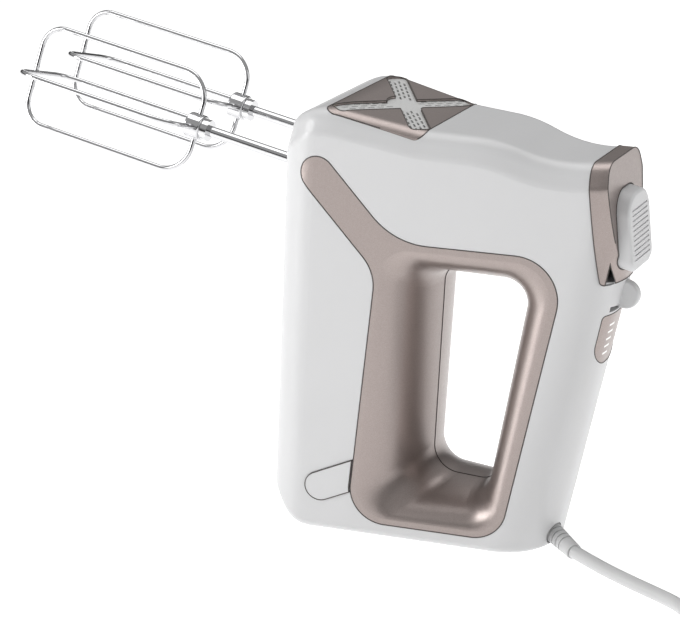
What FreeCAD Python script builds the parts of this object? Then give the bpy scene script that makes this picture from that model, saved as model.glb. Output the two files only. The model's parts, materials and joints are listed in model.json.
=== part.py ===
import FreeCAD, Part
import math
import os

# Hand mixer standing on its heel. Millimetres. +Z is up (towards the nose of the mixer), +X is
# towards the hand grip, -X is the side that the beaters leave, and the left half lies at -Y.

V = FreeCAD.Vector

# ---- driving dimensions -------------------------------------------------------------------------
WALL = 2.5                 # moulded wall of the housing halves
GAP = 0.3                  # visible joint line between two mouldings
HALF_WIDTH = 38.0          # half width of the body at the front corner
FRONT_X = -46.0            # where HALF_WIDTH is measured
TAPER = 0.147              # the sides close in by this much per mm towards the grip
UNDER_X = -64.3            # underside face at the heel
UNDER_LEAN = 0.042
GRIP_X = 57.2              # outer face of the grip at the heel
GRIP_LEAN = 0.212
UNDER_R = 16.0             # vertical corner rounds of the underside and of the grip
GRIP_ROUND = 1.065         # radius of the grip's vertical corners, as a share of the half width
TOP_CHAMFER = (9.0, 3.8)   # shoulder between side face and top: down the side, in from the side
SHOULDER_R = 7.0
HEEL_R = 3.0

# Hand opening as seen from the side: (x, z) corners counter-clockwise from the lower front, on
# the side face (RIM) and on the middle plane (THROAT), and the whole bronze trim with its arm.
RIM = [(-24.3, 7.2), (39.9, 7.2), (64.8, 130.6), (-11.8, 130.6)]
RIM_R = [14, 14, 17, 14]
THROAT = [(-1.0, 21.5), (28.8, 21.5), (44.8, 116.0), (3.6, 116.0)]
THROAT_R = [11, 9, 9, 9]
OPENING_STEPS = 6
OUTSIDE = 0.3              # the inlay's cutting solid starts this share of the width outside
PROUD = 0.02               # cutting solids start this far outside the side face
TRIM = [(-25.5, 6.0), (40.9, 6.0), (66.3, 131.8), (-5.2, 131.8), (-36.9, 168.2), (-48.3, 158.3),
        (-13.4, 118.2)]
TRIM_R = [15, 15, 18, 30, 7.4, 7.4, 18]
TRIM_CONVEX = [True, True, True, False, True, True, False]
TRIM_THICK = 2.0
INLAY_REACH = 0.14         # the inlay's cutting solid ends this share of the width inside

TILT = math.radians(10.3)  # the beaters rise by this angle when the mixer stands on its heel
BEATER_Y = 18.5            # half the distance between the two beaters
COLLAR = V(-104, 0, 164.5)  # middle of the two beater collars
SHAFT_R = 2.3
LOOP_R = 21.5              # half width of a beater loop, on the wire's middle
LOOP_L = 82.0              # collar to the far end
WIRE_R = 1.1
LOOP_TURN = math.radians(16)

MOTOR_X = -31.0            # upright motor axis, midway between the beaters
CAN_R = 24.0
CAN_Z = (46.0, 112.0)
ROTOR_R = 2.5
WORM_R = 4.4
WHEEL_R = 13.85
WHEEL_TEETH = 28
WORM_STARTS = 2

WORM_Z = (137.0, 164.0)
FAN_Z = (117.5, 126.0)
FAN_R = 21.0
ARMATURE_R = 17.0
ARMATURE_Z = (64.0, 98.0)
ARMATURE_SLOTS = 12
SPINDLE_R = 4.6
SPINDLE_FROM = 46.0        # distances inwards from the collars, along a beater
SPINDLE_TO = 86.0
TAIL = 82.0
WHEEL_AT = (MOTOR_X - COLLAR.x) / math.cos(TILT)
WHEEL_WIDTH = 10.0
FRONT_PLATE = (53.0, 60.0)
REAR_PLATE = (85.0, 90.0)
YOKE = (96.0, 100.0)

VENT = [(-37.0, -32.6), (5.0, -28.0), (5.0, 28.0), (-37.0, 32.6)]    # (x, y) corners from above
VENT_R = 4.5
VENT_RIM = 2.2             # thickness of the vent bezel
ARM_WIDTH = 8.9            # clear width of the bezel's X-shaped window
BEZEL_SIDE = [(70.8, 190), (72.2, 165.5), (77.1, 120.6), (90, 122.0), (100, 190)]
BEZEL_SIDE_R = [0, 3, 2, 0, 0]
SCREWS = [V(-50, 0, 34), V(-53.5, 0, 131.5), V(30, 0, 158), V(64, 0, 66), V(30, 0, 10)]
BOSS_R = 5.0
SCREW_SIDE = 1             # the screws are driven in from the right half
SCREW_HEAD = (3.2, 2.4)    # radius and height
HEAD_SEAT = 12.0           # distance of the screw heads' seats from the joint
SERVICE_COVER = (V(-37, 0, 20.2), V(-20, 0, 28.2), 6.5)

BUTTON_Z = (126.5, 157.5)
BUTTON_X = 87.0            # where BUTTON_Z is measured
BUTTON_HALF = 11.8
BUTTON_FACE = [(66, 95), (88.2, 95), (88.9, 131), (86.6, 152), (84.0, 195), (66, 195)]
RIB_PITCH = 2.0
PUSH_Z = 143.0             # height of the push rod behind the button
SPRING_X = 56.5            # seat of the eject spring
SPRING_LENGTH = 14.6
SPRING_R = 3.9

SELECTOR_X = 62.4          # selector axis at SELECTOR_Z
SELECTOR_Z = 119.6
SELECTOR_R = 19.9
SELECTOR_H = 11.5
LEVER_SPAN = 50            # the drum sector's half angle in degrees
TAB_R = 6.0
TAB_THICK = 3.8

CORD_R = 2.8
CORD_Z = 3.0
COIL_R = 28.0              # middle of the stored coil's two columns
COIL_LAYERS = 4
COIL_CENTRE = V(171.1, -61.0, 0)
COIL_LEAVE = math.radians(20)    # where on the coil its last turn leads off to the plug
TIE_AT = math.radians(105)
BOOT_FROM = 13.0           # the plug's bend guard, measured along the cord from there
BOOT_TO = 40.0
PLUG_THICK = 13.6
PLUG_LENGTH = 36.0
PIN_R = 2.0
PIN_HALF_GAP = 9.3
PIN_REACH = 54.0           # boot to pin tip
CORD_ROUTE = [(70.5, -15.4, 3.8), (83, -21.5, 3), (98, -28.5, 3), (112, -34.2, 3), (124, -39.2, 3),
              (133.3, -47.6, 3), (139.4, -58.5, 3), (141.3, -69.3, 3)]

CORD_MEETS_Y = -56.5        # the lying cord has joined the coil here
RELIEF_ROOT = V(51.5, -1.2, 6.6)
RELIEF_END = V(*CORD_ROUTE[0])
GRIP_AXIS = V(GRIP_LEAN, 0, 1).normalize()
SELECTOR = V(SELECTOR_X, 0, SELECTOR_Z)
OUT = V(-math.cos(TILT), 0, math.sin(TILT))    # along a beater, away from the body
RISE = V(math.sin(TILT), 0, math.cos(TILT))    # square to the beaters, upwards
ACROSS = V(0, 1, 0)
UP = V(0, 0, 1)


# ---- helpers ------------------------------------------------------------------------------------
def rounded(points, radii, place):
    """Closed wire through a polygon's corners with tangent arcs; place maps (x, y) into space."""
    edges = []
    ends = []
    for i, (corner, radius) in enumerate(zip(points, radii)):
        before, here, after = V(*points[i - 1], 0), V(*corner, 0), V(*points[(i + 1) % len(points)], 0)
        if radius <= 0:
            ends.append((here, None, here))
            continue
        back = (before - here).normalize()
        ahead = (after - here).normalize()
        half = math.acos(max(-1.0, min(1.0, back.dot(ahead)))) / 2
        run = radius / math.tan(half)
        middle = here + (back + ahead).normalize() * (radius / math.sin(half) - radius)
        ends.append((here + back * run, middle, here + ahead * run))
    for i, (start, middle, end) in enumerate(ends):
        if middle is not None:
            edges.append(Part.Arc(place(start), place(middle), place(end)).toShape())
        following = ends[(i + 1) % len(ends)][0]
        if (following - end).Length > 1e-6:
            edges.append(Part.LineSegment(place(end), place(following)).toShape())
    return Part.Wire(edges)


def grown(points, distance):
    """A counter-clockwise convex polygon with each side moved outwards."""
    lines = []
    for i, point in enumerate(points):
        a, b = V(*point, 0), V(*points[(i + 1) % len(points)], 0)
        along = (b - a).normalize()
        lines.append((a + V(along.y, -along.x, 0) * distance, along))
    corners = []
    for (p, d), (q, e) in zip([lines[-1]] + lines[:-1], lines):
        t = ((q.x - p.x) * e.y - (q.y - p.y) * e.x) / (d.x * e.y - d.y * e.x)
        corners.append((p.x + t * d.x, p.y + t * d.y))
    return corners


def side_view(p):
    return V(p.x, 0, p.y)


def prism(wire, vector):
    return Part.Face(wire).extrude(vector)


def side_prism(points, radii, y_from, y_to):
    wire = rounded(points, radii, lambda p: V(p.x, y_from, p.y))
    return prism(wire, V(0, y_to - y_from, 0))


def box(x, y, z):
    return Part.makeBox(x[1] - x[0], y[1] - y[0], z[1] - z[0], V(x[0], y[0], z[0]))


def rod(radius, start, end):
    return Part.makeCylinder(radius, (end - start).Length, start, (end - start).normalize())


def tube(outer, inner, start, end):
    along = (end - start).normalize()
    return rod(outer, start, end).cut(rod(inner, start - along, end + along))


def block(centre, along, across, sizes):
    """Box about centre with its first side along one vector and its second along another."""
    third = along.cross(across)
    frame = FreeCAD.Matrix(along.x, across.x, third.x, centre.x,
                           along.y, across.y, third.y, centre.y,
                           along.z, across.z, third.z, centre.z, 0, 0, 0, 1)
    a, b, c = sizes
    return Part.makeBox(a, b, c, V(-a / 2, -b / 2, -c / 2)).transformed(frame)


def swept(path, radius):
    first = path.OrderedEdges[0]
    start = first.valueAt(first.FirstParameter)
    along = first.tangentAt(first.FirstParameter)
    ring = Part.Wire(Part.Circle(start, along, radius).toShape())
    return path.makePipeShell([ring], True, False)


def bent_path(points):
    """Straight runs joined by tangent arcs, each as large as its two runs allow."""
    points = [V(*p) for p in points]
    edges = []
    radii = []
    cursor = points[0]
    for before, here, after in zip(points, points[1:], points[2:]):
        back = (before - here).normalize()
        ahead = (after - here).normalize()
        half_turn = (math.pi - math.acos(max(-1.0, min(1.0, back.dot(ahead))))) / 2
        run = 0.45 * min((before - here).Length, (after - here).Length)
        radius = run / math.tan(half_turn)
        start = here + back * run
        end = here + ahead * run
        middle = here + (back + ahead).normalize() * (radius / math.cos(half_turn) - radius)
        edges.append(Part.LineSegment(cursor, start).toShape())
        edges.append(Part.Arc(start, middle, end).toShape())
        radii.append(radius)
        cursor = end
    edges.append(Part.LineSegment(cursor, points[-1]).toShape())
    return Part.Wire(edges), radii


def lofted(wires, ruled):
    """Solid through closed wires, with its faces turned outwards."""
    shape = Part.makeLoft(wires, True, ruled)
    if shape.Volume > 0:
        return shape
    return Part.Solid(Part.Shell([face.reversed() for face in shape.Faces]))


# ---- outer form ---------------------------------------------------------------------------------
def side_y(x):
    return HALF_WIDTH - TAPER * (x - FRONT_X)


def plan_outline(z, inset):
    x_under = UNDER_X + UNDER_LEAN * z + inset
    x_grip = GRIP_X + GRIP_LEAN * z - inset
    y_under = side_y(x_under) - inset
    y_grip = side_y(x_grip) - inset
    corners = [(x_under, -y_under), (x_grip, -y_grip), (x_grip, y_grip), (x_under, y_under)]
    grip_r = GRIP_ROUND * side_y(GRIP_X + GRIP_LEAN * z) - inset
    radii = [UNDER_R - inset, grip_r, grip_r, UNDER_R - inset]
    return rounded(corners, radii, lambda p: V(p.x, p.y, z))


def profile_outline(inset):
    corners = [(-49, 0), (-67, 22), (-60, 188), (-30, 183.4), (4, 177.6), (33, 176.8), (56, 169.2),
               (110, 174), (110, 0)]
    wire = rounded(corners, [14, 16, 27, 0, 60, 60, 60, 0, 0], side_view)
    return wire.makeOffset2D(-inset) if inset else wire


def is_long_edge(edge):
    """True for an edge that runs round the body, not across it or down a shoulder."""
    limits = edge.BoundBox
    across = limits.YLength > 25 and limits.XLength < 3
    down = limits.ZLength > 1.1 * limits.XLength
    return abs(edge.CenterOfMass.y) > 5 and not across and not down


def body_form(inset=0.0, soft=True):
    """The whole outer form, or the same form with every face moved inwards."""
    profile = prism(profile_outline(inset), V(0, 120, 0))
    profile.translate(V(0, -60, 0))
    plan = Part.makeLoft([plan_outline(-20, inset), plan_outline(220, inset)], True, True)
    form = profile.common(plan)
    top = [e for e in form.Edges if e.CenterOfMass.z > 150 and e.BoundBox.YLength < 30
           and e.BoundBox.ZLength < 60 and abs(e.CenterOfMass.y) > 5]
    form = form.makeChamfer(TOP_CHAMFER[0], TOP_CHAMFER[1], top)
    if soft:
        shoulder = [e for e in form.Edges if e.CenterOfMass.z > 150 and is_long_edge(e)]
        form = form.makeFillet(SHOULDER_R, shoulder)
        heel = [e for e in form.Edges if e.CenterOfMass.z < 22 and is_long_edge(e)]
        form = form.makeFillet(HEEL_R, heel)
    return form


# ---- the hand opening ---------------------------------------------------------------------------
def section_wire(outline, radii, half, depth):
    """Rounded outline in the tilted plane that lies a fraction depth below one side face."""
    def place(p):
        return V(p.x, half * (side_y(p.x) + PROUD) * (1 - depth), p.y)
    return rounded(outline, radii, place)


def opening_form(half, rim_grow, throat_grow):
    """Solid that fills one half of the hand opening; it curves inwards like a quarter ellipse."""
    rim = grown(RIM, rim_grow)
    throat = grown(THROAT, throat_grow)
    wires = []
    for step in range(OPENING_STEPS + 1):
        angle = math.pi / 2 * step / OPENING_STEPS
        share = math.sin(angle)
        corners = [(a[0] + (b[0] - a[0]) * share, a[1] + (b[1] - a[1]) * share)
                   for a, b in zip(rim, throat)]
        radii = [a + rim_grow + (b + throat_grow - a - rim_grow) * share
                 for a, b in zip(RIM_R, THROAT_R)]
        wires.append(section_wire(corners, radii, half, 1 - math.cos(angle)))
    return lofted(wires, False)


def trim_zone(half, grow, depth):
    """Solid under the side face inside the outline of the bronze trim, arm included."""
    corners = grown(TRIM, grow)
    radii = [max(r + (grow if convex else -grow), 0.1) for r, convex in zip(TRIM_R, TRIM_CONVEX)]
    outer = section_wire(corners, radii, half, -OUTSIDE)
    inner = section_wire(corners, radii, half, depth)
    return lofted([outer, inner], True)


# ---- housing, trims and covers ------------------------------------------------------------------
def selector_drum(radius, half_height):
    return rod(radius, SELECTOR - GRIP_AXIS * half_height, SELECTOR + GRIP_AXIS * half_height)


def selector_room(clearance):
    """Free space around the turning drum, open towards the front of the grip."""
    drum = selector_drum(SELECTOR_R + 0.5, SELECTOR_H / 2 + clearance)
    return drum.common(box((SELECTOR_X - 3, 120), (-60, 60), (80, 150)))


def vent_prism(grow, z_from=120.0):
    wire = rounded(grown(VENT, grow), [VENT_R + grow] * 4, lambda p: V(p.x, p.y, z_from))
    return prism(wire, V(0, 0, 100))


def vent_cross(width):
    """The X-shaped vent window: two bars between opposite corners of the bezel."""
    middle_x = (VENT[0][0] + VENT[1][0]) / 2
    bars = []
    for sign in (-1, 1):
        start = V(VENT[0][0] + 3.2, sign * (VENT[3][1] - 4.4), 120)
        end = V(VENT[1][0] - 3.0, -sign * (VENT[2][1] - 4.2), 120)
        along = (end - start).normalize()
        flat = V(-along.y, along.x, 0)
        bar = block((start + end) * 0.5 + V(0, 0, 50), along, flat, ((end - start).Length, width, 100))
        corners = [e for e in bar.Edges if e.BoundBox.ZLength > 90]
        bars.append(bar.makeFillet(width * 0.3, corners))
    hub = rod(width * 0.85, V(middle_x, 0, 120), V(middle_x, 0, 220))
    return bars[0].fuse([bars[1], hub])


def scale_outline(grow):
    """Tongue on the front of the grip, as seen from the front: (y, z) corners."""
    half, top, bottom = 11.5 + grow, 107.0 + grow, 84.0 - grow
    corners = [(-half, bottom), (half, bottom), (half, top), (-half, top)]
    wire = rounded(corners, [half * 0.9, half * 0.9, 1.5, 1.5], lambda p: V(50, p.x, p.y))
    return prism(wire, V(60, 0, 0))


def cover_prism(half, grow):
    a, b, radius = SERVICE_COVER
    radius += grow
    y = half * 60
    along = (b - a).normalize()
    ends = [Part.makeCylinder(radius, 60, V(p.x, min(y, 0), p.z), ACROSS) for p in (a, b)]
    bar = block((a + b) * 0.5 + V(0, y / 2, 0), along, ACROSS, ((b - a).Length, 60, 2 * radius))
    return bar.fuse(ends)


def half_space(half):
    return box((-200, 200), (0, 100) if half > 0 else (-100, 0), (-50, 250))


def under_skin(half, depth):
    """Slab deeper than depth under one side face, to bound inlays."""
    outer = [V(x, half * (side_y(x) - depth), 0) for x in (-90, 110)]
    corners = [outer[0], outer[1], V(110, 0, 0), V(-90, 0, 0)]
    slab = Part.Face(Part.makePolygon(corners + [corners[0]])).extrude(V(0, 0, 260))
    slab.translate(V(0, 0, -30))
    return slab


def shaft_point(side, distance):
    """Point on a beater's axis, a distance inwards from its collar."""
    return COLLAR + V(0, side * BEATER_Y, 0) - OUT * distance


def make_housings(form, core):
    """Two clamshell halves with their screw bosses and motor cradles."""
    parts = {}
    bezel_room = side_prism(BEZEL_SIDE, BEZEL_SIDE_R, -60, 60)
    vent_room = vent_prism(GAP).cut(core_lowered(core))
    scale_room = scale_outline(GAP / 2).cut(body_form(1.2, False))
    for half, name in ((-1, "left_housing"), (1, "right_housing")):
        opening = opening_form(half, 0, TRIM_THICK + GAP)
        solid_wall = opening_form(half, WALL, TRIM_THICK + GAP + WALL)
        inlay = trim_zone(half, 0, INLAY_REACH).cut(under_skin(half, TRIM_THICK))
        room = core.cut(solid_wall).common(half_space(half))
        shell = form.common(half_space(half)).cut(room)
        shell = shell.cut([bezel_room, vent_room, selector_room(2.0), scale_room])
        shell = shell.cut([opening, inlay])
        cover_room = cover_prism(half, GAP / 2).cut(under_skin(half, 1.2))
        shell = shell.cut(cover_room)
        spindle_room = rod(SPINDLE_R + 0.6, shaft_point(half, 30), shaft_point(half, 60))
        shell = shell.fuse(bosses(half, room)).cut([spindle_room, relief_room()] + screw_room(half))
        parts[name] = shell.removeSplitter()
    return parts


def core_lowered(core):
    """Floor of the vent recess: the inner form moved up so that a thin ledge stays under the bezel."""
    floor = core.copy()
    floor.translate(V(0, 0, WALL - VENT_RIM - 0.9))
    return floor


def bosses(half, room):
    """Screw bosses, cradles that hold the motor can, and the seat of the eject spring."""
    pieces = []
    for spot in SCREWS:
        pieces.append(rod(BOSS_R, spot, spot + V(0, half * 45, 0)).common(room))
    seat = box((SPRING_X - 2.0, SPRING_X), (-30, 30), (PUSH_Z - 8, PUSH_Z + 9)).common(room)
    rod_room = rod(3.4, V(SPRING_X - 5, 0, PUSH_Z + 1.25), V(SPRING_X + 5, 0, PUSH_Z + 1.25))
    pieces.append(seat.cut(rod_room))
    for z in (CAN_Z[0] + 8, CAN_Z[1] - 14):
        slab = box((-70, MOTOR_X + CAN_R + 3), (-60, 60), (z, z + 2.0)).common(room)
        pieces.append(slab.cut(rod(CAN_R + 0.02, V(MOTOR_X, 0, 0), V(MOTOR_X, 0, 200))))
    return pieces


def screw_room(half):
    """Clearance holes and sunk heads in the right half, pilot holes in the left half."""
    pieces = []
    for spot in SCREWS:
        if half == SCREW_SIDE:
            pieces.append(rod(1.7, spot, spot + V(0, 60, 0)))
            pieces.append(rod(SCREW_HEAD[0] + 0.4, spot + V(0, HEAD_SEAT, 0), spot + V(0, 60, 0)))
        else:
            pieces.append(rod(1.25, spot, spot - V(0, 14, 0)))
    return pieces


def relief_axis():
    return (RELIEF_END - RELIEF_ROOT).normalize()


def relief_room():
    along = relief_axis()
    groove = rod(5.9, RELIEF_ROOT + along * 0.9, RELIEF_ROOT + along * 2.9)
    return rod(4.9, RELIEF_ROOT - along * 1.0, RELIEF_ROOT + along * 12).fuse(groove)


def make_trims(form):
    parts = {}
    for half, name in ((-1, "left_grip_trim"), (1, "right_grip_trim")):
        inlay = trim_zone(half, -GAP, INLAY_REACH).cut(under_skin(half, TRIM_THICK - 0.1))
        ring = opening_form(half, -GAP, TRIM_THICK)
        visible = opening_form(half, -1.2, 0)
        parts[name] = ring.fuse(inlay).common(form).cut(visible)
    return parts


def make_vent(form, core):
    skin = form.cut(core_lowered(core))
    plate_top = body_form(0.9, False)
    plate_floor = plate_top.copy()
    plate_floor.translate(V(0, 0, -1.2))
    grille = plate_top.cut(plate_floor).common(vent_cross(ARM_WIDTH + 1.2)).cut(vent_slots())
    seat = vent_cross(ARM_WIDTH + 1.6).cut(plate_floor).common(plate_top)
    bezel = skin.common(vent_prism(0)).cut([vent_cross(ARM_WIDTH), seat])
    return {"vent_bezel": bezel, "vent_grille": grille}


def vent_slots():
    """Four rows of short slots along each arm of the cross, staggered like bricks."""
    middle_x = (VENT[0][0] + VENT[1][0]) / 2
    slots = []
    for sign_x in (-1, 1):
        for sign_y in (-1, 1):
            corner = V(VENT[0 if sign_x < 0 else 1][0], sign_y * VENT[3 if sign_x < 0 else 2][1], 0)
            start = V(middle_x, 0, 0)
            along = (corner - start).normalize()
            flat = V(-along.y, along.x, 0)
            for row in range(4):
                offset = flat * ((row - 1.5) * 2.0)
                for step in range(5):
                    reach = 8.0 + 4.4 * step + (2.2 if row % 2 else 0)
                    centre = start + along * reach + offset + V(0, 0, 175)
                    slots.append(block(centre, along, flat, (2.9, 0.9, 40)))
    return slots


def make_control_bezel():
    """Inverted U around the eject button at the front end of the grip."""
    stretch = FreeCAD.Matrix()
    stretch.move(V(-60, 0, -140))
    stretch.scale(V(1.02, 1.025, 1.012))
    stretch.move(V(60, 0, 140))
    outer = body_form(0).transformGeometry(stretch)
    cut_front = [(84.6, 119.0), (110, 119.0), (110, 190), (77.2, 190), (80.0, 164)]
    outer = outer.cut(side_prism(cut_front, [0, 0, 0, 0, 6], -60, 60))
    zone = [(x + 0.4, z + 0.5) for x, z in BEZEL_SIDE]
    bezel = outer.common(side_prism(zone, BEZEL_SIDE_R, -60, 60))
    hollow_side = [(60, 100), (81.6, 100), (81.6, 123), (77.0, 161), (73.0, 167.2), (60, 167.2)]
    hollow = side_prism(hollow_side, [0, 0, 2, 6, 2, 0], -14.6, 14.6)
    return {"control_bezel": bezel.cut([hollow, button_prism(0.4), selector_room(0.5)])}


def button_prism(grow):
    """Solid with the button's outline that runs along the direction in which it is pressed."""
    x_back = BUTTON_FACE[0][0]
    lift = (BUTTON_X - x_back) * math.tan(TILT)
    low, high = BUTTON_Z[0] + lift - grow, BUTTON_Z[1] + lift + grow
    half = BUTTON_HALF + grow
    corners = [(-half, low), (half, low), (half, high), (-half, high)]
    wire = rounded(corners, [5 + grow, 5 + grow, 9 + grow, 9 + grow], lambda p: V(x_back, p.x, p.y))
    return prism(wire, OUT * -36)


def make_eject():
    """Thumb button, its push rod with the two-pin yoke, and the return spring."""
    front = side_prism(BUTTON_FACE, [0, 0, 0, 20, 0, 0], -30, 30)
    button = button_prism(0).common(front).common(box((72, 110), (-30, 30), (90, 200)))
    rim = [e for e in button.Edges if e.CenterOfMass.x > 84 and e.Length > 5]
    button = button.makeFillet(1.4, rim)
    deeper = front.copy()
    deeper.translate(V(-0.5, 0, 0))
    low, high = BUTTON_Z
    grooves = []
    for i in range(int((high - low - 8) / RIB_PITCH)):
        z = low + 4.5 + RIB_PITCH * i
        grooves.append(box((84, 95), (-8.5, 8.5), (z, z + 0.7)).cut(deeper))
    button = button.cut(grooves)
    button = button.cut(box((60, 82), (-9.0, 9.0), (low + 4.5, high - 3)))
    button = button.fuse(rod(SPRING_R - 1.0, V(74, 0, PUSH_Z), V(84, 0, PUSH_Z)))
    near, far = YOKE
    middle = COLLAR - OUT * ((near + far) / 2)
    yoke = block(middle, OUT, ACROSS, (far - near, 2 * BEATER_Y + 7, 7))
    push = rod(2.6, middle, V(72.5, 0, PUSH_Z)).fuse(rod(SPRING_R + 1.4, V(71.2, 0, PUSH_Z), V(73, 0, PUSH_Z)))
    pins = [rod(1.9, shaft_point(s, near + 1), shaft_point(s, TAIL + 0.5)) for s in (-1, 1)]
    plunger = yoke.fuse([push] + pins).cut(button)
    turns = Part.makeHelix(2.6, SPRING_LENGTH - 0.9, SPRING_R)
    ring = Part.Wire(Part.Circle(V(SPRING_R, 0, 0), ACROSS, 0.4).toShape())
    spring = Part.Wire(turns.Edges).makePipeShell([ring], True, True)
    spring.rotate(V(0, 0, 0), ACROSS, 90)
    spring.translate(V(SPRING_X + 0.45, 0, PUSH_Z + 0.6))
    return {"eject_button": button, "eject_plunger": plunger, "eject_spring": spring}


def make_lever():
    """Drum sector with a flat thumb tab; it turns about the grip's leaning axis."""
    half = SELECTOR_H / 2
    ring = selector_drum(SELECTOR_R, half).cut(selector_drum(SELECTOR_R - 3.0, half + 1))
    web = selector_drum(SELECTOR_R - 1, 1.4)
    keep = box((SELECTOR_X + SELECTOR_R * math.cos(math.radians(LEVER_SPAN)), 120), (-60, 60), (80, 150))
    sector = ring.fuse(web).common(keep)
    outwards = ACROSS.cross(GRIP_AXIS)
    spoke = block(SELECTOR + outwards * (SELECTOR_R / 2), outwards, ACROSS, (SELECTOR_R - 1, 9, 2.8))
    hub = selector_drum(4.6, half)
    tab_at = SELECTOR + outwards * (SELECTOR_R + 1.0) - GRIP_AXIS * 1.2
    tab = Part.makeCylinder(TAB_R, TAB_THICK, tab_at - ACROSS * (TAB_THICK / 2), ACROSS)
    tab = tab.makeFillet(1.0, [e for e in tab.Edges if e.Length > 30])
    neck = block(tab_at - outwards * 2.2, outwards, ACROSS, (4.0, TAB_THICK, 9))
    lever = sector.fuse([spoke, hub, tab.fuse(neck)])
    return {"speed_lever": lever.cut(selector_drum(2.05, 30))}


def make_switch():
    pivot = selector_drum(2.0, SELECTOR_H / 2 + 2.0)
    body_centre = SELECTOR - GRIP_AXIS * (SELECTOR_H / 2 + 9.5)
    switch_body = block(body_centre, GRIP_AXIS, ACROSS, (15, 16, 14)).fuse(pivot)
    outwards = ACROSS.cross(GRIP_AXIS)
    board_centre = SELECTOR - GRIP_AXIS * 47 - outwards * 4
    board = block(board_centre, GRIP_AXIS, ACROSS, (44, 20, 1.6))
    chips = [block(board_centre - GRIP_AXIS * along + outwards * 3.3, GRIP_AXIS, ACROSS, size)
             for along, size in ((12, (8, 12, 5)), (-6, (9, 8, 5)))]
    return {"speed_switch": switch_body, "circuit_board": board.fuse(chips)}


def make_scale(form):
    plate = scale_outline(0).cut(body_form(1.2, False)).common(form).cut(selector_room(2.0))
    return {"speed_scale_plate": plate}


def make_covers(form):
    parts = {}
    for half, name in ((-1, "left_service_cover"), (1, "right_service_cover")):
        cover = cover_prism(half, -GAP / 2).cut(under_skin(half, 1.1))
        raised = form.copy()
        raised.translate(V(0, half * 0.4, 0))
        cover = cover.common(raised).cut(trim_zone(half, GAP, INLAY_REACH))
        parts[name] = cover
    return parts


def make_screws():
    head_r, head_h = SCREW_HEAD
    screws = []
    for spot in SCREWS:
        seat = spot + V(0, HEAD_SEAT, 0)
        top = seat + V(0, head_h, 0)
        shank = rod(1.2, spot - V(0, 12, 0), seat)
        cross = [block(top, V(1, 0, 0), UP, size) for size in ((4, 0.8, 1.6), (0.8, 4, 1.6))]
        screws.append(shank.fuse(rod(head_r, seat, top)).cut(cross))
    return {"housing_screws": Part.makeCompound(screws)}


# ---- drive --------------------------------------------------------------------------------------
def gear(radius, width, teeth, depth):
    """Toothed disc on the local Z axis, centred on the origin."""
    disc = Part.makeCylinder(radius, width, V(0, 0, -width / 2))
    pitch = 2 * math.pi / teeth
    gap_wide = radius * pitch * 0.52
    gap_narrow = gap_wide * 0.5
    notch = Part.makePolygon([V(radius - depth, -gap_narrow / 2, 0), V(radius + 0.5, -gap_wide / 2, 0),
                              V(radius + 0.5, gap_wide / 2, 0), V(radius - depth, gap_narrow / 2, 0),
                              V(radius - depth, -gap_narrow / 2, 0)])
    cutter = Part.Face(notch).extrude(V(0, 0, width + 2))
    cutter.translate(V(0, 0, -width / 2 - 1))
    notches = []
    for i in range(teeth):
        one = cutter.copy()
        one.rotate(V(0, 0, 0), UP, math.degrees(pitch * i))
        notches.append(one)
    return disc.cut(notches)


def laid_along(shape, centre, direction):
    """A shape built on the local Z axis, turned to a direction and moved to a centre."""
    placed = shape.copy()
    placed.Placement = FreeCAD.Placement(centre, FreeCAD.Rotation(UP, direction))
    return placed


def make_spindles():
    parts = {}
    for side, name in ((-1, "left"), (1, "right")):
        sleeve = rod(SPINDLE_R, shaft_point(side, SPINDLE_FROM), shaft_point(side, SPINDLE_TO))
        flange = rod(SPINDLE_R + 1.8, shaft_point(side, 60.4), shaft_point(side, 62.0))
        bore = rod(SHAFT_R + 0.05, shaft_point(side, SPINDLE_FROM - 1), shaft_point(side, SPINDLE_TO + 1))
        keys = block(shaft_point(side, 63), OUT, RISE, (36, 7.4, 1.5))
        parts[name + "_spindle"] = sleeve.fuse(flange).cut([bore, keys])
        wheel = gear(WHEEL_R, WHEEL_WIDTH, WHEEL_TEETH, 1.9)
        wheel = laid_along(wheel, shaft_point(side, WHEEL_AT), OUT)
        parts[name + "_worm_wheel"] = wheel.cut(rod(SPINDLE_R, shaft_point(side, 40), shaft_point(side, 95)))
    return parts


def make_gearbox():
    """Two cross plates joined over the wheels, with bearings for the spindles and the worm."""
    plates = []
    for near, far in (FRONT_PLATE, REAR_PLATE):
        middle = COLLAR - OUT * ((near + far) / 2)
        plates.append(block(middle, OUT, ACROSS, (far - near, 54, 17)))
        bridge_leg = block(middle + RISE * 12, OUT, ACROSS, (far - near, 30, 12))
        plates.append(bridge_leg)
    middle = COLLAR - OUT * ((FRONT_PLATE[0] + REAR_PLATE[1]) / 2)
    bridge = block(middle + RISE * 16.6, OUT, ACROSS, (REAR_PLATE[1] - FRONT_PLATE[0], 30, 3.2))
    frame = plates[0].fuse(plates[1:] + [bridge])
    bores = [rod(SPINDLE_R + 0.05, shaft_point(s, 40), shaft_point(s, 100)) for s in (-1, 1)]
    bores.append(rod(ROTOR_R + 0.05, V(MOTOR_X, 0, 120), V(MOTOR_X, 0, 200)))
    return {"gearbox_frame": frame.cut(bores)}


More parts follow.
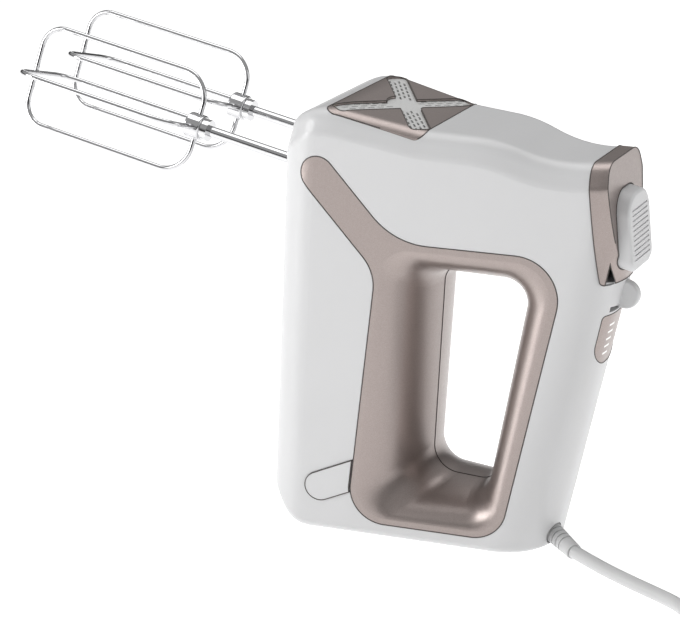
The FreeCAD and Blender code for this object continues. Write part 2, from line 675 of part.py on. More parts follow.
def make_rotor():
    axis = V(MOTOR_X, 0, 0)
    shaft = rod(ROTOR_R, axis + UP * 44.5, axis + UP * 170.5)
    low, high = ARMATURE_Z
    core_disc = rod(ARMATURE_R, axis + UP * low, axis + UP * high)
    slots = []
    for i in range(ARMATURE_SLOTS):
        slot = box((6.5, 15.6), (-1.6, 1.6), (60, 102)).fuse(box((15, 18), (-0.7, 0.7), (60, 102)))
        slot.rotate(V(0, 0, 0), UP, 360 / ARMATURE_SLOTS * i)
        slot.translate(axis)
        slots.append(slot)
    core = core_disc.cut(slots).cut(rod(ROTOR_R, axis, axis + UP * 200))
    coils = [tube(15.2, 6.6, axis + UP * z, axis + UP * (z + 6)) for z in (low - 6.1, high + 0.1)]
    coils = [c.makeFillet(2.0, [e for e in c.Edges if e.Length > 60]) for c in coils]
    for i in range(ARMATURE_SLOTS):
        bar = box((7.2, 15.2), (-1.3, 1.3), (low - 1, high + 1))
        bar.rotate(V(0, 0, 0), UP, 360 / ARMATURE_SLOTS * i)
        bar.translate(axis)
        coils.append(bar)
    windings = coils[0].fuse(coils[1:])
    commutator = tube(6.0, ROTOR_R, axis + UP * 49.5, axis + UP * 57.5)
    cuts = []
    for i in range(ARMATURE_SLOTS):
        cut = box((5.2, 7), (-0.2, 0.2), (49, 56.5))
        cut.rotate(V(0, 0, 0), UP, 360 / ARMATURE_SLOTS * (i + 0.5))
        cut.translate(axis)
        cuts.append(cut)
    core_worm = tube(WORM_R - 1.3, ROTOR_R, axis + UP * WORM_Z[0], axis + UP * WORM_Z[1])
    lead = 2 * math.pi * (WHEEL_R - 0.95) / WHEEL_TEETH * WORM_STARTS
    threads = []
    for start in range(WORM_STARTS):
        path = Part.makeHelix(lead, WORM_Z[1] - WORM_Z[0] - 5, WORM_R - 1.4)
        base = WORM_R - 1.4
        tooth = Part.makePolygon([V(base, 0, -1.0), V(WORM_R, 0, -0.45), V(WORM_R, 0, 0.45),
                                  V(base, 0, 1.0), V(base, 0, -1.0)])
        thread = Part.Wire(path.Edges).makePipeShell([tooth], True, True)
        thread.rotate(V(0, 0, 0), UP, 360 / WORM_STARTS * start)
        thread.translate(axis + UP * (WORM_Z[0] + 2.5))
        threads.append(thread)
    worm = core_worm.fuse(threads)
    return {"rotor_shaft": shaft, "armature_core": core, "armature_windings": windings,
            "commutator": commutator.cut(cuts), "worm": worm}


def make_fan():
    axis = V(MOTOR_X, 0, 0)
    low, high = FAN_Z
    hub = tube(6.0, ROTOR_R, axis + UP * low, axis + UP * high)
    disc = tube(FAN_R, ROTOR_R, axis + UP * low, axis + UP * (low + 1.2))
    blades = []
    for i in range(11):
        blade = box((5.5, FAN_R - 0.5), (-0.6, 0.6), (low + 1, high))
        blade.rotate(V(12, 0, 0), UP, 24)
        blade.rotate(V(0, 0, 0), UP, 360 / 11 * i)
        blade.translate(axis)
        blades.append(blade)
    inside = rod(FAN_R, axis + UP * low, axis + UP * high)
    wheel = hub.fuse([disc] + blades).common(inside)
    return {"cooling_fan": wheel.cut(rod(ROTOR_R, axis, axis + UP * 200))}


def make_motor():
    axis = V(MOTOR_X, 0, 0)
    low, high = CAN_Z
    can = tube(CAN_R, CAN_R - 1.6, axis + UP * low, axis + UP * high)
    floor = rod(CAN_R - 0.8, axis + UP * low, axis + UP * (low + 1.6))
    can = can.fuse(floor).cut(rod(4.5, axis, axis + UP * 60))
    windows = []
    for i in range(4):
        window = box((15, 30), (-5, 5), (low + 5, low + 9))
        window.rotate(V(0, 0, 0), UP, 90 * i)
        window.translate(axis)
        windows.append(window)
    can = can.cut(windows)
    bell = tube(CAN_R - 1.65, 5.0, axis + UP * (high - 2.5), axis + UP * high)
    bell = bell.fuse(tube(CAN_R, CAN_R - 4, axis + UP * high, axis + UP * (high + 1.5)))
    ports = [rod(3.0, axis + V(13 * math.cos(a), 13 * math.sin(a), 100),
                 axis + V(13 * math.cos(a), 13 * math.sin(a), 120))
             for a in (math.radians(30 + 60 * i) for i in range(6))]
    bell = bell.cut(ports)
    arcs = []
    for sign in (-1, 1):
        magnet = tube(CAN_R - 1.65, 17.8, axis + UP * 66, axis + UP * 97)
        wedge = box((-13, 13), (0, 40) if sign > 0 else (-40, 0), (60, 100))
        wedge.translate(axis)
        arcs.append(magnet.common(wedge))
    bearings = [tube(4.5, ROTOR_R + 0.05, axis + UP * (low - 1), axis + UP * (low + 3)),
                tube(5.0, ROTOR_R + 0.05, axis + UP * (high - 3), axis + UP * (high + 2.5))]
    holders = []
    brushes = []
    for sign in (-1, 1):
        centre = axis + V(sign * 11.6, 0, 53.5)
        sleeve = block(centre, V(1, 0, 0), UP, (8.0, 4.6, 5.6))
        foot = block(axis + V(sign * 15.2, 0, 49.6), V(1, 0, 0), UP, (12.0, 4.0, 8))
        slot = block(centre, V(1, 0, 0), UP, (20, 2.9, 3.9))
        holders.append(sleeve.fuse(foot).cut(slot))
        brushes.append(block(axis + V(sign * 9.7, 0, 53.5), V(1, 0, 0), UP, (7.2, 2.8, 3.8)))
    return {"motor_can": can, "motor_end_bell": bell, "motor_magnets": Part.makeCompound(arcs),
            "motor_bearings": Part.makeCompound(bearings),
            "brush_holders": Part.makeCompound(holders), "carbon_brushes": Part.makeCompound(brushes)}


# ---- beaters ------------------------------------------------------------------------------------
def make_loop(side, first):
    """One closed wire loop; the second loop is square to the first and passes just inside it."""
    angle = LOOP_TURN if first else LOOP_TURN + math.pi / 2
    across = RISE * math.cos(angle) + ACROSS * math.sin(angle)
    length = LOOP_L if first else LOOP_L - 2 * WIRE_R - 0.05
    base = shaft_point(side, 0)
    root = 2.6
    corners = [(-root, 0), (-LOOP_R, 0), (-LOOP_R, length), (LOOP_R, length), (LOOP_R, 0), (root, 0)]
    radii = [0, 12.5, 9.5, 9.5, 12.5, 0]
    closed = rounded(corners, radii, lambda p: base + across * p.x + OUT * p.y)
    bottom = [e for e in closed.Edges if (e.CenterOfMass - base).Length > 1.0]
    wire = Part.Wire(Part.__sortEdges__(bottom))
    return swept(wire, WIRE_R)


def make_beaters():
    parts = {}
    for side, name in ((-1, "left"), (1, "right")):
        shaft = rod(SHAFT_R, shaft_point(side, 1.0), shaft_point(side, TAIL))
        ears = block(shaft_point(side, 75), OUT, RISE, (8, 6.8, 1.3))
        shaft = shaft.fuse(ears)
        collar = rod(5.6, shaft_point(side, -4.0), shaft_point(side, 3.2))
        collar = collar.makeFillet(0.8, [e for e in collar.Edges if e.Length > 20])
        flange = rod(4.6, shaft_point(side, 3.0), shaft_point(side, 6.4))
        loops = make_loop(side, True).fuse(make_loop(side, False))
        socket = rod(SHAFT_R, shaft_point(side, 0.9), shaft_point(side, 10))
        collar = collar.fuse(flange).cut(socket)
        parts[name + "_beater_shaft"] = shaft
        parts[name + "_beater_wires"] = loops
        parts[name + "_beater_collar"] = collar.cut(loops)
    return parts


# ---- wiring and cord ----------------------------------------------------------------------------
def make_wires():
    """Two leads from the switch over the hand opening to the motor."""
    leads = []
    for y in (-8.0, 8.0):
        route = [(58, y * 0.8, 112.9), (59, y * 0.8, 126), (44, y, 133), (14, y, 133), (-8, y, 131),
                 (-9.2, y, 113.6)]
        leads.append(swept(bent_path(route)[0], 0.9))
    return {"internal_wires": Part.makeCompound(leads)}


def coil_point(angle, radius, z):
    return COIL_CENTRE + V(radius * math.cos(angle), radius * math.sin(angle), z)


def make_relief():
    """Ribbed cord guard in the heel, the cord's end inside the housing and its clamp."""
    along = relief_axis()
    relief = Part.makeCone(4.6, 3.4, (RELIEF_END - RELIEF_ROOT).Length, RELIEF_ROOT, along)
    for step in range(4):
        start = RELIEF_ROOT + along * (9.5 + 2.6 * step)
        relief = relief.cut(tube(6, 3.3, start, start + along * 0.8))
    flange = rod(5.6, RELIEF_ROOT + along * 1.2, RELIEF_ROOT + along * 2.6)
    relief = relief.fuse(flange).cut(rod(CORD_R, RELIEF_ROOT - along, RELIEF_ROOT + along * 6))
    tail = rod(CORD_R - 0.05, RELIEF_ROOT - along * 7, RELIEF_ROOT + along * 5.9)
    clamp = block(RELIEF_ROOT - along * 4.5, along, UP, (3.5, 8.5, 7.6)).cut(tail)
    return {"strain_relief": relief, "cord_tail": tail, "cord_clamp": clamp}


def coil_room():
    """Disc that takes in the whole coil; what meets the coil ends at its outer wall."""
    return rod(COIL_R + 2 * CORD_R, COIL_CENTRE - UP * 5, COIL_CENTRE + UP * 50)


def make_cord(relief):
    """The lying cord and its tied coil: two columns of turns in four layers."""
    path, radii = bent_path(CORD_ROUTE)
    print("cord radii", [round(r, 1) for r in radii])
    print("cord length", round(path.Length, 1))
    deep = 2 * COIL_LAYERS * CORD_R
    bottom = UP * (CORD_Z - CORD_R)
    outer, inner = COIL_R + 2 * CORD_R, COIL_R - 2 * CORD_R
    coil = tube(outer, inner, COIL_CENTRE + bottom, COIL_CENTRE + bottom + UP * deep)
    spoke = V(math.cos(TIE_AT), math.sin(TIE_AT), 0)
    band = block(coil_point(TIE_AT, COIL_R, CORD_Z - CORD_R + deep / 2), spoke, UP,
                 (4 * CORD_R + 1.6, deep + 0.2, 5))
    wound = box((COIL_CENTRE.x - 60, COIL_CENTRE.x), (COIL_CENTRE.y - 40, CORD_MEETS_Y), (-10, 20))
    cord = swept(path, CORD_R).cut([coil_room(), wound, relief])
    return {"power_cord": cord, "cord_coil": coil, "cord_tie": band.cut(coil)}


def make_plug():
    """Flat two-pin plug that lies beside the coil, with its bend guard."""
    away = V(-math.sin(COIL_LEAVE), math.cos(COIL_LEAVE), 0)
    aside = V(math.cos(COIL_LEAVE), math.sin(COIL_LEAVE), 0)
    leave = coil_point(COIL_LEAVE, COIL_R + CORD_R, 0)
    start = leave + away * BOOT_FROM + UP * (CORD_Z + 2 * (COIL_LAYERS - 1) * CORD_R)
    floor = leave + away * BOOT_TO + UP * 0.4
    middle = floor + UP * (PLUG_THICK / 2)
    reach = middle - start
    boot = Part.makeCone(3.2, 4.4, reach.Length + 1, start, V(*reach).normalize())
    half = [(0, 6.5), (8, 13), (30, 17.6), (PLUG_LENGTH, 17.6)]
    outline = [(x, -y) for x, y in half] + half[::-1]
    wire = rounded(outline, [2, 4, 3, 2, 2, 3, 4, 2], lambda p: floor + away * p.x + aside * p.y)
    grip = prism(wire, V(0, 0, PLUG_THICK))
    pins = []
    for sign in (-1, 1):
        axis = middle + aside * (sign * PIN_HALF_GAP)
        pin = rod(PIN_R, axis + away * PLUG_LENGTH, axis + away * PIN_REACH)
        tip = [e for e in pin.Edges if (e.CenterOfMass - axis - away * PIN_REACH).Length < 0.1]
        pins.append(pin.makeFillet(1.0, tip))
    return {"plug_body": grip.fuse(boot).cut(coil_room()), "plug_pins": Part.makeCompound(pins)}


def main():
    os.makedirs("parts", exist_ok=True)
    form = body_form()
    core = body_form(WALL, False)
    parts = {}
    parts.update(make_housings(form, core))
    parts.update(make_trims(form))
    parts.update(make_vent(form, core))
    parts.update(make_control_bezel())
    parts.update(make_scale(form))
    parts.update(make_covers(form))
    for make in (make_eject, make_lever, make_switch, make_screws, make_spindles, make_gearbox,
                 make_rotor, make_fan, make_motor, make_beaters, make_wires, make_relief):
        parts.update(make())
    parts.update(make_cord(parts["strain_relief"]))
    parts.update(make_plug())
    for name, shape in parts.items():
        limits = shape.BoundBox
        print(name, len(shape.Solids), shape.isValid(), round(shape.Volume),
              [round(v, 1) for v in (limits.XMin, limits.XMax, limits.YMin, limits.YMax,
                                     limits.ZMin, limits.ZMax)])
        shape.exportStep("parts/" + name + ".step")


main()
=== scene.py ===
import json
import math

import bmesh
import bpy
from mathutils import Matrix, Vector


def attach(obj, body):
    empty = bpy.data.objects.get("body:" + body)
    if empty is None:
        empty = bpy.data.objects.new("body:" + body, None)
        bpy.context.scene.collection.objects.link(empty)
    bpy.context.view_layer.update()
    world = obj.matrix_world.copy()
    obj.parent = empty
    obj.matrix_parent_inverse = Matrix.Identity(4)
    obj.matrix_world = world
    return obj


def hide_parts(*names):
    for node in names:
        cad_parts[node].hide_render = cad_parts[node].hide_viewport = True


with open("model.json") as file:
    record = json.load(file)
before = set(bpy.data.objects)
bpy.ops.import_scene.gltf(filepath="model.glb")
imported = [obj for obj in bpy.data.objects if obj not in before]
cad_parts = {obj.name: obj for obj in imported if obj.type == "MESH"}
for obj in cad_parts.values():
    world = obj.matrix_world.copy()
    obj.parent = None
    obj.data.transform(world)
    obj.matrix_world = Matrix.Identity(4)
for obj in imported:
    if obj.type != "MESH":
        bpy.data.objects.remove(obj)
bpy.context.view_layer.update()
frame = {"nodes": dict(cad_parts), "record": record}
NODES = frame["nodes"]
MM = 0.001

# ---- camera -------------------------------------------------------------------------------------
CAMERA_AT = Vector((0.37135, -0.81904, 0.41876))
CAMERA_TURN = math.radians(27)      # the view's heading, from +Y towards -X
CAMERA_DROP = math.radians(20)      # the view looks down by this much
LENS = 120.7


def add_camera():
    data = bpy.data.cameras.new("camera")
    data.lens = LENS
    data.sensor_width = 36
    data.clip_end = 50
    camera = bpy.data.objects.new("camera", data)
    look = Vector((-math.sin(CAMERA_TURN) * math.cos(CAMERA_DROP),
                   math.cos(CAMERA_TURN) * math.cos(CAMERA_DROP), -math.sin(CAMERA_DROP)))
    camera.location = CAMERA_AT
    camera.rotation_euler = look.to_track_quat("-Z", "Y").to_euler()
    bpy.context.scene.collection.objects.link(camera)
    bpy.context.scene.camera = camera


# ---- materials ----------------------------------------------------------------------------------
def new_material(name):
    material = bpy.data.materials.new(name)
    material.use_nodes = True
    tree = material.node_tree
    return material, tree, tree.nodes["Principled BSDF"]


def node(tree, kind, **inputs):
    made = tree.nodes.new(kind)
    for key, value in inputs.items():
        made.inputs[key.replace("_", " ")].default_value = value
    return made


def noise(tree, size, detail=2.0):
    """Noise whose blotches are about size metres across, fixed to the object."""
    place = tree.nodes.new("ShaderNodeTexCoord")
    made = node(tree, "ShaderNodeTexNoise", Scale=1 / size, Detail=detail)
    tree.links.new(place.outputs["Object"], made.inputs["Vector"])
    return made.outputs["Fac"]


def flakes(tree, size):
    place = tree.nodes.new("ShaderNodeTexCoord")
    made = node(tree, "ShaderNodeTexVoronoi", Scale=1 / size)
    tree.links.new(place.outputs["Object"], made.inputs["Vector"])
    grey = tree.nodes.new("ShaderNodeRGBToBW")
    tree.links.new(made.outputs["Color"], grey.inputs["Color"])
    return grey.outputs["Val"]


def spread(tree, factor, low, high):
    """The factor's usual 0.3 to 0.7 mapped to low to high."""
    made = node(tree, "ShaderNodeMapRange")
    made.inputs["From Min"].default_value = 0.3
    made.inputs["From Max"].default_value = 0.7
    made.inputs["To Min"].default_value = low
    made.inputs["To Max"].default_value = high
    tree.links.new(factor, made.inputs["Value"])
    return made.outputs["Result"]


def tinted(tree, factor, colour, change):
    """Colour that varies by a share either way with the factor."""
    mix = tree.nodes.new("ShaderNodeMix")
    mix.data_type = "RGBA"
    colours = [socket for socket in mix.inputs if socket.type == "RGBA"]
    colours[0].default_value = (*[c * (1 - change) for c in colour], 1)
    colours[1].default_value = (*[min(1.0, c * (1 + change)) for c in colour], 1)
    tree.links.new(factor, mix.inputs[0])
    return [socket for socket in mix.outputs if socket.type == "RGBA"][0]


def bumped(tree, shader, factor, depth, strength=1.0):
    bump = node(tree, "ShaderNodeBump", Strength=strength, Distance=depth)
    tree.links.new(factor, bump.inputs["Height"])
    tree.links.new(bump.outputs["Normal"], shader.inputs["Normal"])


def moulded(name, colour, rough, grain, depth, coat=0.0, change=0.02):
    """Moulded plastic or rubber with a fine skin, faint clouding and uneven gloss."""
    material, tree, shader = new_material(name)
    cloud = noise(tree, 0.04)
    fine = noise(tree, grain, 3.0)
    tree.links.new(tinted(tree, cloud, colour, change), shader.inputs["Base Color"])
    tree.links.new(spread(tree, fine, rough * 0.85, rough * 1.2), shader.inputs["Roughness"])
    bumped(tree, shader, fine, depth)
    shader.inputs["Coat Weight"].default_value = coat
    shader.inputs["Coat Roughness"].default_value = 0.12
    return material


def lacquered(name, colour, rough, metallic, flake, coat=0.35):
    """Metallic lacquer: flakes that differ in value under a thin clear coat."""
    material, tree, shader = new_material(name)
    speck = flakes(tree, flake)
    fine = noise(tree, flake * 6, 3.0)
    tree.links.new(tinted(tree, speck, colour, 0.10), shader.inputs["Base Color"])
    tree.links.new(spread(tree, fine, rough * 0.9, rough * 1.12), shader.inputs["Roughness"])
    bumped(tree, shader, speck, flake * 0.05, 0.5)
    shader.inputs["Metallic"].default_value = metallic
    shader.inputs["Coat Weight"].default_value = coat
    shader.inputs["Coat Roughness"].default_value = 0.25
    return material


def metal(name, colour, rough, grain, depth, change=0.04):
    """Bare or plated metal with fine working marks."""
    material, tree, shader = new_material(name)
    cloud = noise(tree, 0.012)
    fine = noise(tree, grain, 4.0)
    tree.links.new(tinted(tree, cloud, colour, change), shader.inputs["Base Color"])
    tree.links.new(spread(tree, fine, rough * 0.7, rough * 1.4), shader.inputs["Roughness"])
    bumped(tree, shader, fine, depth)
    shader.inputs["Metallic"].default_value = 1.0
    return material


def banded(name, colour, rough, pitch, metallic=1.0):
    """Stacked laminations or close windings: fine bands along Z."""
    material, tree, shader = new_material(name)
    place = tree.nodes.new("ShaderNodeTexCoord")
    wave = node(tree, "ShaderNodeTexWave", Scale=1 / pitch / math.tau * 3, Distortion=0.4)
    wave.bands_direction = "Z"
    tree.links.new(place.outputs["Object"], wave.inputs["Vector"])
    tree.links.new(tinted(tree, wave.outputs["Fac"], colour, 0.25), shader.inputs["Base Color"])
    tree.links.new(spread(tree, noise(tree, 0.002), rough * 0.8, rough * 1.2), shader.inputs["Roughness"])
    bumped(tree, shader, wave.outputs["Fac"], pitch * 0.2)
    shader.inputs["Metallic"].default_value = metallic
    return material


BRONZE = ((0.37, 0.315, 0.297), 0.36, 0.78, 0.00022)    # colour, roughness, metallic, flake size
SCALE_Z = (0.0885, 0.1045)    # lowest and highest printed tick on the speed scale
SCALE_PITCH = 0.0032
TICK_SHARE = 0.28             # printed share of the pitch
TICK_HALF = 0.0021
SCALE_ASIDE = 0.0035          # the ticks' distance from the middle plane


def printed_scale(material):
    """Plain light ticks on the speed scale, evenly spaced up its middle."""
    tree = material.node_tree
    shader = tree.nodes["Principled BSDF"]

    def math_node(operation, first, second):
        made = tree.nodes.new("ShaderNodeMath")
        made.operation = operation
        for socket, value in zip(made.inputs, (first, second)):
            if isinstance(value, (int, float)):
                socket.default_value = value
            else:
                tree.links.new(value, socket)
        return made.outputs["Value"]

    place = tree.nodes.new("ShaderNodeTexCoord")
    split = tree.nodes.new("ShaderNodeSeparateXYZ")
    tree.links.new(place.outputs["Object"], split.inputs["Vector"])
    height = split.outputs["Z"]
    step = math_node("DIVIDE", math_node("SUBTRACT", height, SCALE_Z[0]), SCALE_PITCH)
    mask = math_node("LESS_THAN", math_node("FRACT", step, 0), TICK_SHARE)
    aside = math_node("ABSOLUTE", math_node("ADD", split.outputs["Y"], SCALE_ASIDE), 0)
    limits = [math_node("GREATER_THAN", height, SCALE_Z[0]), math_node("LESS_THAN", height, SCALE_Z[1]),
              math_node("LESS_THAN", aside, TICK_HALF)]
    for limit in limits:
        mask = math_node("MULTIPLY", mask, limit)
    mix = tree.nodes.new("ShaderNodeMix")
    mix.data_type = "RGBA"
    ground, print_colour = [socket for socket in mix.inputs if socket.type == "RGBA"]
    tree.links.new(shader.inputs["Base Color"].links[0].from_socket, ground)
    print_colour.default_value = (0.85, 0.84, 0.83, 1)
    tree.links.new(mask, mix.inputs[0])
    tree.links.new([socket for socket in mix.outputs if socket.type == "RGBA"][0], shader.inputs["Base Color"])
    return material


def make_materials():
    return {
        "white_body": moulded("white_body", (0.68, 0.68, 0.685), 0.34, 0.003, 0.000002, coat=0.2),
        "bronze_trim": lacquered("bronze_trim", *BRONZE),
        "grille_silver": lacquered("grille_silver", (0.86, 0.86, 0.85), 0.32, 0.30, 0.0002),
        "white_button": moulded("white_button", (0.68, 0.68, 0.685), 0.42, 0.0005, 0.00001),
        "chrome": metal("chrome", (0.64, 0.64, 0.65), 0.08, 0.0008, 0.0000015),
        "steel": metal("steel", (0.56, 0.56, 0.57), 0.30, 0.0004, 0.000004),
        "zinc_can": metal("zinc_can", (0.50, 0.51, 0.53), 0.42, 0.0015, 0.000006, 0.10),
        "brass": metal("brass", (0.73, 0.56, 0.30), 0.25, 0.0006, 0.000003),
        "copper": banded("copper", (0.60, 0.27, 0.13), 0.35, 0.0006),
        "nylon": moulded("nylon", (0.76, 0.74, 0.66), 0.45, 0.0008, 0.00001),
        "black_plastic": moulded("black_plastic", (0.025, 0.025, 0.027), 0.45, 0.0006, 0.00001, change=0.2),
        "board_green": moulded("board_green", (0.03, 0.16, 0.08), 0.35, 0.0012, 0.000006, change=0.15),
        "ferrite": moulded("ferrite", (0.07, 0.07, 0.075), 0.6, 0.0007, 0.00002, change=0.2),
        "laminated_steel": banded("laminated_steel", (0.30, 0.30, 0.32), 0.45, 0.0005),
        "carbon": moulded("carbon", (0.035, 0.035, 0.037), 0.6, 0.0005, 0.00002, change=0.2),
        "cord_grey": moulded("cord_grey", (0.62, 0.62, 0.62), 0.42, 0.0007, 0.00001),
        "scale": printed_scale(lacquered("scale", *BRONZE)),
        # painted shade: dark material for the lines that stand in for the shade inside the gaps round the inlaid
        # pieces
        "painted_gap_shade": moulded("painted_gap_shade", (0.09, 0.08, 0.075), 0.6, 0.0006, 0.000005, change=0.2),
    }


def finish_nodes(materials):
    """Every CAD node takes the material of its slot in the record."""
    for row in frame["record"]["subparts"]:
        piece = NODES[row["node"]]
        piece.data.materials.clear()
        piece.data.materials.append(materials[row["material_slot"]])
    NODES["speed_scale_plate"].data.materials.clear()
    NODES["speed_scale_plate"].data.materials.append(materials["scale"])


# ---- mesh helpers -------------------------------------------------------------------------------
def link(name, data, material, body="housing"):
    piece = bpy.data.objects.new(name, data)
    bpy.context.scene.collection.objects.link(piece)
    data.materials.append(material)
    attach(piece, body)
    return piece


def loft(name, rings, closed_ends=True):
    """Smooth mesh through rings that have the same number of points."""
    mesh = bmesh.new()
    rows = [[mesh.verts.new(point) for point in ring] for ring in rings]
    count = len(rows[0])
    for lower, upper in zip(rows, rows[1:]):
        for i in range(count):
            j = (i + 1) % count
            mesh.faces.new((lower[i], lower[j], upper[j], upper[i]))
    if closed_ends:
        mesh.faces.new(rows[0][::-1])
        mesh.faces.new(rows[-1])
    bmesh.ops.recalc_face_normals(mesh, faces=mesh.faces)
    for face in mesh.faces:
        face.smooth = True
    data = bpy.data.meshes.new(name)
    mesh.to_mesh(data)
    mesh.free()
    return data


# ---- cord ---------------------------------------------------------------------------------------
CORD_R = 0.0028
CORD_Z = 0.003
COIL_CENTRE = Vector((0.1711, -0.061, 0))
COIL_R = 0.028
COIL_ENTRY = math.radians(195.6)
COIL_TURNED = math.radians(2344.4)    # from the coil's entry to where it leads off to the plug
COIL_STEP = math.radians(20)
LAYERS = 4
LAYER_TURN = 590                    # degrees of winding per layer
SIDE_STEP = (310, 50)               # degrees after a layer's start where it changes column
CLIMB = (600, 70)                   # where it climbs to the next layer
CORD_ROUTE = [(0.0705, -0.0154, 0.0038), (0.083, -0.0215, 0.003), (0.098, -0.0285, 0.003),
              (0.112, -0.0342, 0.003), (0.124, -0.0392, 0.003), (0.1333, -0.0476, 0.003),
              (0.1394, -0.0585, 0.003), (0.1413, -0.0693, 0.003)]


def ramp(turned, start, length):
    share = min(1.0, max(0.0, (math.degrees(turned) - start) / length))
    return share * share * (3 - 2 * share)


def coil_points():
    """Turns of the stored cord: two columns wide, wound inwards and outwards in turn as it climbs."""
    points = []
    steps = round(COIL_TURNED / COIL_STEP)
    widen = 1 / math.cos(COIL_TURNED / steps / 2)
    for i in range(1, steps + 1):
        turned = COIL_TURNED * i / steps
        inwards = sum((-1) ** layer * ramp(turned, SIDE_STEP[0] + LAYER_TURN * layer, SIDE_STEP[1])
                      for layer in range(LAYERS))
        climbed = sum(ramp(turned, CLIMB[0] + LAYER_TURN * layer, CLIMB[1]) for layer in range(LAYERS - 1))
        radius = (COIL_R + CORD_R * (1 - 2 * inwards)) * widen
        angle = COIL_ENTRY + turned
        height = CORD_Z + 2 * CORD_R * climbed
        points.append(COIL_CENTRE + Vector((radius * math.cos(angle), radius * math.sin(angle), height)))
    return points


PLUG_AWAY = Vector((-math.sin(math.radians(20)), math.cos(math.radians(20)), 0))
PLUG_ASIDE = Vector((PLUG_AWAY.y, -PLUG_AWAY.x, 0))
PLUG_FROM = COIL_CENTRE + PLUG_ASIDE * (COIL_R + CORD_R)
COIL_TOP_Z = CORD_Z + 2 * CORD_R * (LAYERS - 1)


def add_cord(materials):
    last_turn = coil_points()
    route = [Vector(p) for p in CORD_ROUTE] + last_turn
    route += [PLUG_FROM + PLUG_AWAY * reach + Vector((0, 0, COIL_TOP_Z - drop))
              for reach, drop in ((0.006, 0), (0.012, 0.0002), (0.017, 0.0009))]
    data = bpy.data.curves.new("mains_cord", "CURVE")
    data.dimensions = "3D"
    spline = data.splines.new("NURBS")
    spline.points.add(len(route) - 1)
    for point, place in zip(spline.points, route):
        point.co = (*place, 1)
    spline.order_u = 3
    spline.use_endpoint_u = True
    spline.resolution_u = 6
    data.bevel_depth = CORD_R
    data.bevel_resolution = 5
    data.use_fill_caps = True
    cord = link("mains_cord", data, materials["cord_grey"])
    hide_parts("power_cord", "cord_coil")
    return cord


TIE_AT = math.radians(105)


def add_tie(materials):
    """Strap round the coil, a rounded band with its two ends pinched together."""
    spoke = Vector((math.cos(TIE_AT), math.sin(TIE_AT), 0))
    along = Vector((-spoke.y, spoke.x, 0))
    centre = COIL_CENTRE + spoke * COIL_R + Vector((0, 0, CORD_Z + CORD_R * (LAYERS - 1)))
    half_wide, half_high, round_off = 2 * CORD_R + 0.0007, LAYERS * CORD_R + 0.0001, 0.0026
    outline = []
    for corner in range(4):
        sign_x = 1 if corner in (0, 3) else -1
        sign_z = 1 if corner in (0, 1) else -1
        for step in range(7):
            angle = math.pi / 2 * (corner + step / 6)
            outline.append((sign_x * (half_wide - round_off) + round_off * math.cos(angle),
                            sign_z * (half_high - round_off) + round_off * math.sin(angle)))
    rings = []
    for shift, shrink in ((-2.5, 0.7), (-2.5, 0.2), (-2.2, 0), (2.2, 0), (2.5, 0.2), (2.5, 0.7), (-2.5, 0.7)):
        ring = []
        for x, z in outline:
            scale = 1 - shrink * MM / half_high
            ring.append(centre + along * (shift * MM) + spoke * (x * scale) + Vector((0, 0, z * scale)))
        rings.append(ring)
    data = loft("coil_strap", rings, closed_ends=False)
    strap = link("coil_strap", data, materials["black_plastic"])
    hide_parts("cord_tie")
    return strap


PLUG_SECTIONS = [     # mm along the plug: half width, half height, height of its middle
    (13, 3.2, 3.2, 19.7), (17, 3.4, 3.4, 19.0), (22, 3.6, 3.6, 17.2), (28, 3.9, 3.9, 13.4), (33, 4.2, 4.2, 10.0),
    (37, 4.6, 4.5, 8.0), (39.6, 5.4, 5.0, 7.3), (41, 7.2, 5.9, 7.2), (44, 10.2, 6.6, 7.2), (50, 13.4, 6.8, 7.2),
    (58, 15.6, 6.8, 7.2), (66, 17.2, 6.8, 7.2), (74.4, 17.5, 6.8, 7.2), (75.6, 17.1, 6.4, 7.2), (76, 16.2, 5.6, 7.2)]
PLUG_ROUND_TO = 38          # the bend guard is round up to here, the body a flat rounded box
PLUG_POINTS = 48


def add_plug(materials):
    rings = []
    for reach, half_wide, half_high, height in PLUG_SECTIONS:
        power = 2.0 if reach < PLUG_ROUND_TO else 3.4
        ring = []
        for i in range(PLUG_POINTS):
            angle = math.tau * i / PLUG_POINTS
            c, s = math.cos(angle), math.sin(angle)
            aside = math.copysign(abs(c) ** (2 / power), c) * half_wide
            rise = math.copysign(abs(s) ** (2 / power), s) * half_high
            middle = PLUG_FROM + PLUG_AWAY * (reach * MM)
            ring.append(middle + PLUG_ASIDE * (aside * MM) + Vector((0, 0, (height + rise) * MM)))
        rings.append(ring)
    plug = link("plug_shell", loft("plug_shell", rings), materials["cord_grey"])
    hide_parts("plug_body")
    return plug


# ---- painted gap shade round the inlaid pieces --------------------------------------------------
# painted shade lines: their radius, and the edge angle above which an edge gets one
GAP_SHADE_R = 0.00022
GAP_SHADE_ANGLE = math.radians(42)
INLAID = ("left_grip_trim", "right_grip_trim", "vent_bezel", "control_bezel", "speed_scale_plate",
          "left_service_cover", "right_service_cover")


def add_gap_shade(materials):
    """Thin dark lines along the sharp edges of every inlaid piece, where it meets the housing: painted shade that
    stands in for the darkness inside the gaps.
    """
    for name in INLAID:
        mesh = bmesh.new()
        mesh.from_mesh(NODES[name].data)
        bmesh.ops.remove_doubles(mesh, verts=mesh.verts, dist=0.000001)
        data = bpy.data.curves.new("painted_shade_" + name, "CURVE")
        data.dimensions = "3D"
        data.bevel_depth = GAP_SHADE_R
        data.bevel_resolution = 1
        data.use_fill_caps = True
        for edge in mesh.edges:
            if len(edge.link_faces) == 2 and edge.calc_face_angle() > GAP_SHADE_ANGLE:
                spline = data.splines.new("POLY")
                spline.points.add(1)
                for point, vertex in zip(spline.points, edge.verts):
                    point.co = (*vertex.co, 1)
        mesh.free()
        link("painted_shade_" + name, data, materials["painted_gap_shade"])


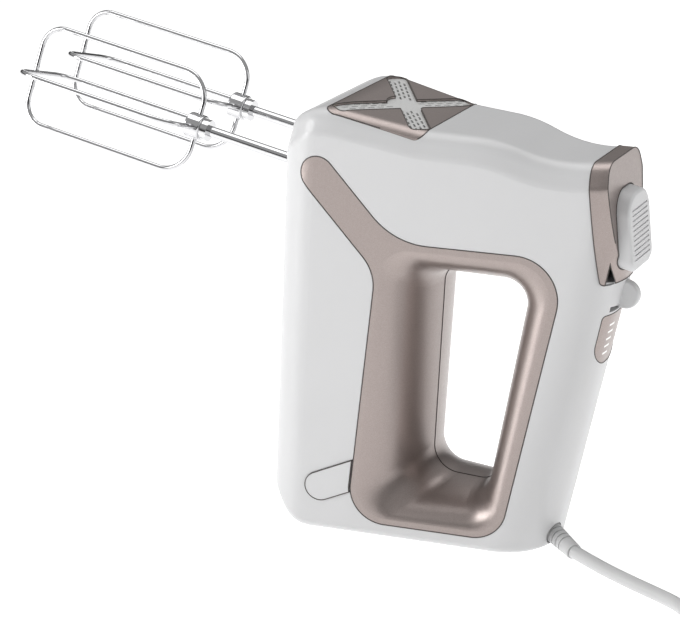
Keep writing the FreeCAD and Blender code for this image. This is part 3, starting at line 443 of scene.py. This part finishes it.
# ---- stage --------------------------------------------------------------------------------------
def add_floor():
    mesh = bmesh.new()
    bmesh.ops.create_grid(mesh, x_segments=1, y_segments=1, size=6)
    data = bpy.data.meshes.new("floor")
    mesh.to_mesh(data)
    mesh.free()
    floor = bpy.data.objects.new("floor", data)
    bpy.context.scene.collection.objects.link(floor)
    material, tree, shader = new_material("floor")
    tree.links.new(tinted(tree, noise(tree, 1.5), (0.95, 0.95, 0.95), 0.003), shader.inputs["Base Color"])
    shader.inputs["Roughness"].default_value = 0.16
    shader.inputs["Emission Color"].default_value = (1, 1, 1, 1)
    shader.inputs["Emission Strength"].default_value = 0.62
    data.materials.append(material)


WORLD_DIM, WORLD_BRIGHT = 0.04, 0.42
WORLD_DIM_BELOW, WORLD_BRIGHT_ABOVE = 0.15, 0.50    # height of the direction, 1 is straight up


def add_light(name, place, target, size, power):
    data = bpy.data.lights.new(name, "AREA")
    data.shape = "RECTANGLE"
    data.size, data.size_y = size
    data.energy = power
    lamp = bpy.data.objects.new(name, data)
    lamp.location = place
    lamp.rotation_euler = (Vector(target) - Vector(place)).to_track_quat("-Z", "Y").to_euler()
    bpy.context.scene.collection.objects.link(lamp)


def add_studio():
    """White room, dim near the horizon so that bright metal shows dark edges."""
    world = bpy.data.worlds.new("studio")
    world.use_nodes = True
    tree = world.node_tree
    background = tree.nodes["Background"]
    place = tree.nodes.new("ShaderNodeTexCoord")
    split = tree.nodes.new("ShaderNodeSeparateXYZ")
    rise = tree.nodes.new("ShaderNodeMapRange")
    rise.inputs["From Min"].default_value = WORLD_DIM_BELOW
    rise.inputs["From Max"].default_value = WORLD_BRIGHT_ABOVE
    rise.inputs["To Min"].default_value = WORLD_DIM
    rise.inputs["To Max"].default_value = WORLD_BRIGHT
    tree.links.new(place.outputs["Generated"], split.inputs["Vector"])
    tree.links.new(split.outputs["Z"], rise.inputs["Value"])
    tree.links.new(rise.outputs["Result"], background.inputs["Strength"])
    background.inputs["Color"].default_value = (1, 1, 1, 1)
    bpy.context.scene.world = world
    middle = (0.0, 0.0, 0.1)
    add_light("left_softbox", (-1.1, -0.9, 0.5), middle, (0.7, 0.9), 10.5)
    add_light("top_softbox", (-0.2, 0.3, 1.5), middle, (1.4, 1.0), 8)
    add_light("right_softbox", (1.2, 0.2, 0.4), middle, (0.5, 0.9), 2.5)
    bpy.context.scene.view_settings.view_transform = "Standard"


def main():
    add_camera()
    materials = make_materials()
    finish_nodes(materials)
    cord = add_cord(materials)
    strap = add_tie(materials)
    plug = add_plug(materials)
    # painted shade along the gaps round the inlaid pieces
    add_gap_shade(materials)
    add_floor()
    add_studio()


main()
